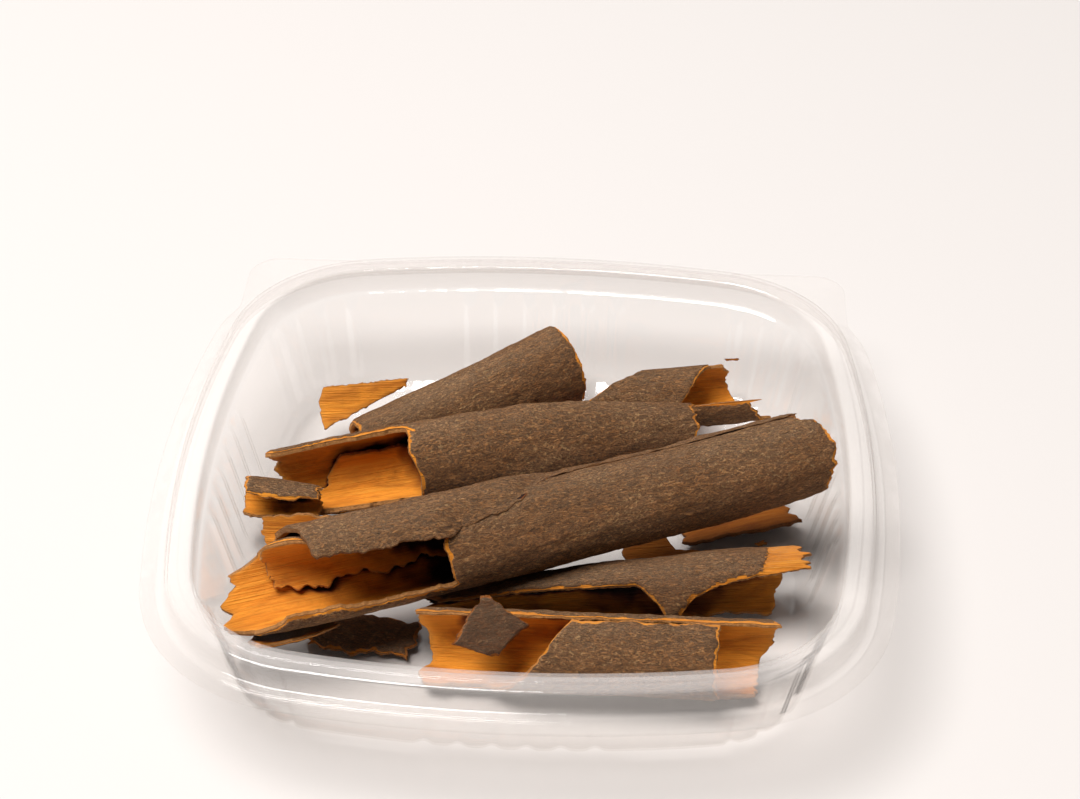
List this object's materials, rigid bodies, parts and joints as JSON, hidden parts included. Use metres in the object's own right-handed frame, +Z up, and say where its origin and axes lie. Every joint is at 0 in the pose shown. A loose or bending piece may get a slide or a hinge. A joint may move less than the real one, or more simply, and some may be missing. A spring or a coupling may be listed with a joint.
{
  "type": "cinnamon sticks in a clear tray",
  "caption": "Loose stack of rolled cinnamon bark quills and broken bark flakes, held in a clear square tray with ribbed walls.",
  "frame": {"origin": "centre of the tray in plan, at the height of its base, which rests on the table", "axes": "+Z up, +X to the right and -Y towards the viewer, square to the tray's sides; the flange tabs are at the +Y corners"},
  "size_m": [0.1802, 0.1802, 0.0408],
  "materials": {
    "clear_plastic": "clear glossy thin plastic, formed",
    "outer_bark": "rough dull grey-brown bark with fine wrinkles and pale specks",
    "inner_bark": "matt orange-brown inner bark with fine long fibres"
  },
  "bodies": {
    "root": {"tray": "clear_plastic", "quill_long": "outer_bark", "quill_middle": "outer_bark", "curl_left": "outer_bark", "trough_left": "inner_bark", "flake_back": "inner_bark", "quill_back": "outer_bark", "quill_right": "outer_bark", "shell_front": "outer_bark", "quill_front": "outer_bark", "flake_top": "outer_bark", "flake_floor": "outer_bark", "splinter_right": "inner_bark", "splinter_inner": "inner_bark", "flake_under": "inner_bark", "crumb_floor": "inner_bark", "sliver_wall": "outer_bark"}
  },
  "joints": []
}
